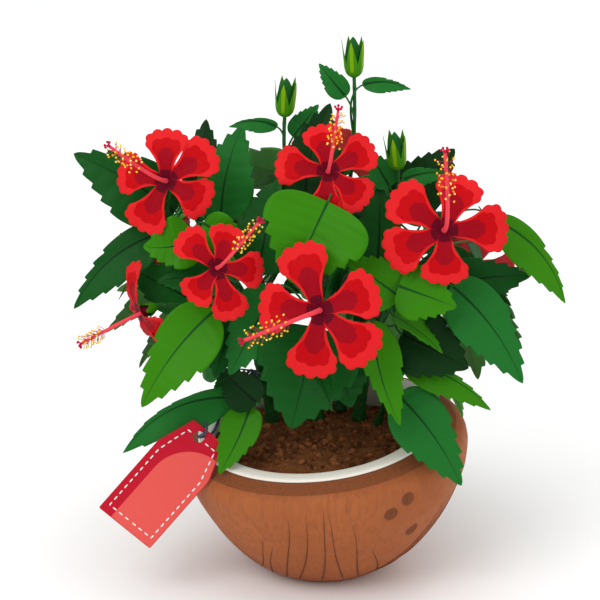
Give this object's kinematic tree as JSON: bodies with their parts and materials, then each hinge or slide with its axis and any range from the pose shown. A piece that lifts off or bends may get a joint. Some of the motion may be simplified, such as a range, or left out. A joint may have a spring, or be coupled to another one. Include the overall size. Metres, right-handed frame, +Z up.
{
  "type": "potted hibiscus shrub",
  "caption": "Potted hibiscus shrub with serrated leaves, open red flowers and closed buds on bare stems, in a tilted halved-coconut pot with a white lining, hung with a blank swing tag.",
  "frame": {"origin": "centre of the pot's flat underside, on the ground", "axes": "+Z up, -Y to the front where most flowers face, +X to the plant's right as seen from the front"},
  "size_m": [0.4853, 0.5416, 0.554],
  "materials": {
    "pot_shell": "matt coconut brown with fine fibre lines and a darker band under the rim",
    "pot_lining": "smooth off-white",
    "soil": "loose crumbly potting soil",
    "bark": "green young bark",
    "foliage": "satin leaves in four greens with red petals",
    "tag": "coral card with a red end and a white stitched line",
    "cord": "navy cord"
  },
  "bodies": {
    "root": {"pot_shell": "pot_shell", "pot_lining": "pot_lining", "soil": "soil", "stem_left": "bark", "stem_centre": "bark", "stem_right": "bark", "stem_far_right": "bark", "stem_back_left": "bark", "stem_back_right": "bark", "bough_upper_left": "bark", "bough_left": "bark", "bough_centre_left": "bark", "bough_low_left": "bark", "bough_front": "bark", "bough_top": "bark", "bough_bud_left": "bark", "bough_bud_top": "bark", "bough_right": "bark", "bough_bud_right": "bark", "bough_right_low": "bark", "bough_back_high_left": "bark", "bough_back_left": "bark", "bough_back_low_left": "bark", "bough_back_top": "bark", "bough_back_middle": "bark", "bough_back_right": "bark", "bough_back_high_right": "bark", "bough_back_low_right": "bark", "shoot_upper_left": "foliage", "shoot_left": "foliage", "shoot_centre_left": "foliage", "shoot_low_left": "foliage", "shoot_front": "foliage", "shoot_top": "foliage", "shoot_right": "foliage", "shoot_right_low": "foliage", "shoot_low_right": "foliage", "shoot_bud_left": "foliage", "shoot_bud_top": "foliage", "shoot_bud_right": "foliage", "shoot_back_high_left": "foliage", "shoot_back_left": "foliage", "shoot_back_low_left": "foliage", "shoot_back_top": "foliage", "shoot_back_middle": "foliage", "shoot_back_right": "foliage", "shoot_back_high_right": "foliage", "shoot_back_low_right": "foliage", "tag": "tag", "tag_cord": "cord"}
  },
  "joints": []
}
